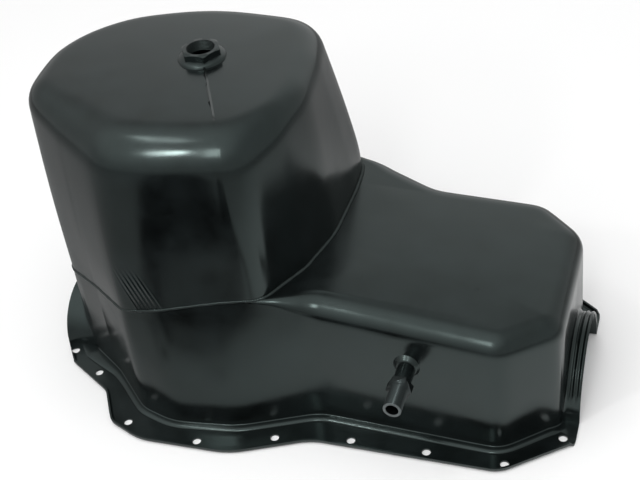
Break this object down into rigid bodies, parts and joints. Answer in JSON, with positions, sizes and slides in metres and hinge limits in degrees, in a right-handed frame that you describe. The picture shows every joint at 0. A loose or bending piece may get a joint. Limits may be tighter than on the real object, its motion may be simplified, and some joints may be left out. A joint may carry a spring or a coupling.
{
  "type": "engine oil pan",
  "caption": "Deep-sump engine oil pan of black enamelled pressed steel: bolted rail with end seal arches, shallow tray, welded deep bowl, drain boss and side hose fitting.",
  "frame": {"origin": "on the rail's mounting face, at the middle of the pan's length and width", "axes": "+X along the crankshaft towards the larger seal arch, +Y away from the side with the hose fitting, +Z from the rail face to the floor of the deep bowl; the pan lies upside down on its rail, as it is drawn"},
  "size_m": [0.5772, 0.358, 0.344],
  "materials": {
    "black_enamel": "gloss black electro-coated sheet steel",
    "weld_enamel": "black electro-coat over a rippled weld bead",
    "boss_enamel": "black electro-coat over machined steel",
    "blackened_steel": "blackened machined steel with bright worn edges"
  },
  "bodies": {
    "root": {"upper_tray": "black_enamel", "sump_bowl": "black_enamel", "bowl_seam_weld": "weld_enamel", "drain_boss": "boss_enamel", "drain_boss_weld": "weld_enamel", "side_bung": "boss_enamel", "side_bung_weld": "weld_enamel", "hose_adapter": "blackened_steel"}
  },
  "joints": []
}
